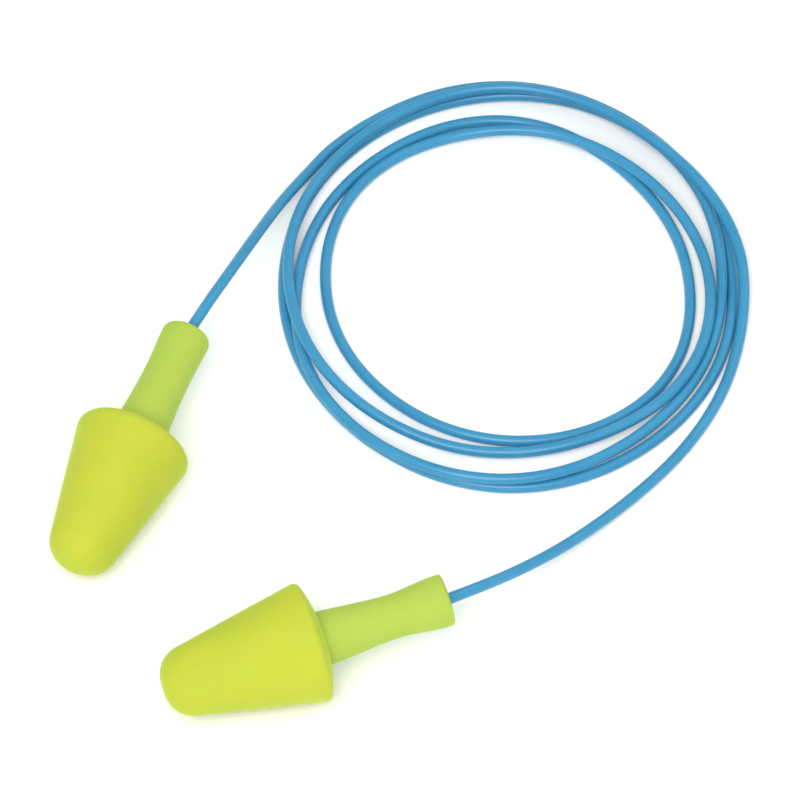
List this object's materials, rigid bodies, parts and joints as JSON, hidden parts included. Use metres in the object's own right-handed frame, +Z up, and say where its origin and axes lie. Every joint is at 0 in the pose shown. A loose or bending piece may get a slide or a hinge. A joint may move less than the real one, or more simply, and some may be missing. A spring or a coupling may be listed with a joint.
{
  "type": "corded foam ear plugs",
  "caption": "Pair of push-in foam ear plugs with bullet-shaped tips and flexible stems, joined by a loosely coiled vinyl cord.",
  "frame": {"origin": "on the table, under the middle of the common box of the two plugs without their cord", "axes": "+Z up from the table, +X to the right and +Y away from the front"},
  "size_m": [0.0775, 0.0917, 0.013],
  "materials": {
    "tip_foam": "matte",
    "stem_foam": "matte",
    "core_plastic": "satin",
    "adhesive": "gloss",
    "cord_vinyl": "gloss"
  },
  "bodies": {
    "cord": {"cord_coil": "cord_vinyl", "upper_cord_lead": "cord_vinyl", "lower_cord_lead": "cord_vinyl"},
    "upper_stem": {"upper_stem_sleeve": "stem_foam", "upper_flexible_core": "core_plastic", "upper_cord_bond": "adhesive", "upper_cord_end": "cord_vinyl"},
    "upper_tip": {"upper_foam_tip": "tip_foam"},
    "lower_stem": {"lower_stem_sleeve": "stem_foam", "lower_flexible_core": "core_plastic", "lower_cord_bond": "adhesive", "lower_cord_end": "cord_vinyl"},
    "lower_tip": {"lower_foam_tip": "tip_foam"}
  },
  "joints": [
    {"name": "upper_swing", "type": "hinge", "parent": "cord", "child": "upper_stem", "pos_m": [-0.00706, 0.02378, 0.00812], "axis": [0, 0, 1], "range_deg": [-40, 5]},
    {"name": "upper_flex", "type": "hinge", "parent": "upper_stem", "child": "upper_tip", "pos_m": [-0.01217, 0.01115, 0.00669], "axis": [0, 0, 1], "range_deg": [-25, 25], "stiffness_Nm_per_rad": 0.001, "deforming": ["upper_flexible_core"]},
    {"name": "lower_swing", "type": "hinge", "parent": "cord", "child": "lower_stem", "pos_m": [0.02132, -0.01183, 0.00773], "axis": [0, 0, 1], "range_deg": [-5, 40]},
    {"name": "lower_flex", "type": "hinge", "parent": "lower_stem", "child": "lower_tip", "pos_m": [0.00833, -0.01605, 0.00666], "axis": [0, 0, 1], "range_deg": [-25, 25], "stiffness_Nm_per_rad": 0.001, "deforming": ["lower_flexible_core"]}
  ]
}
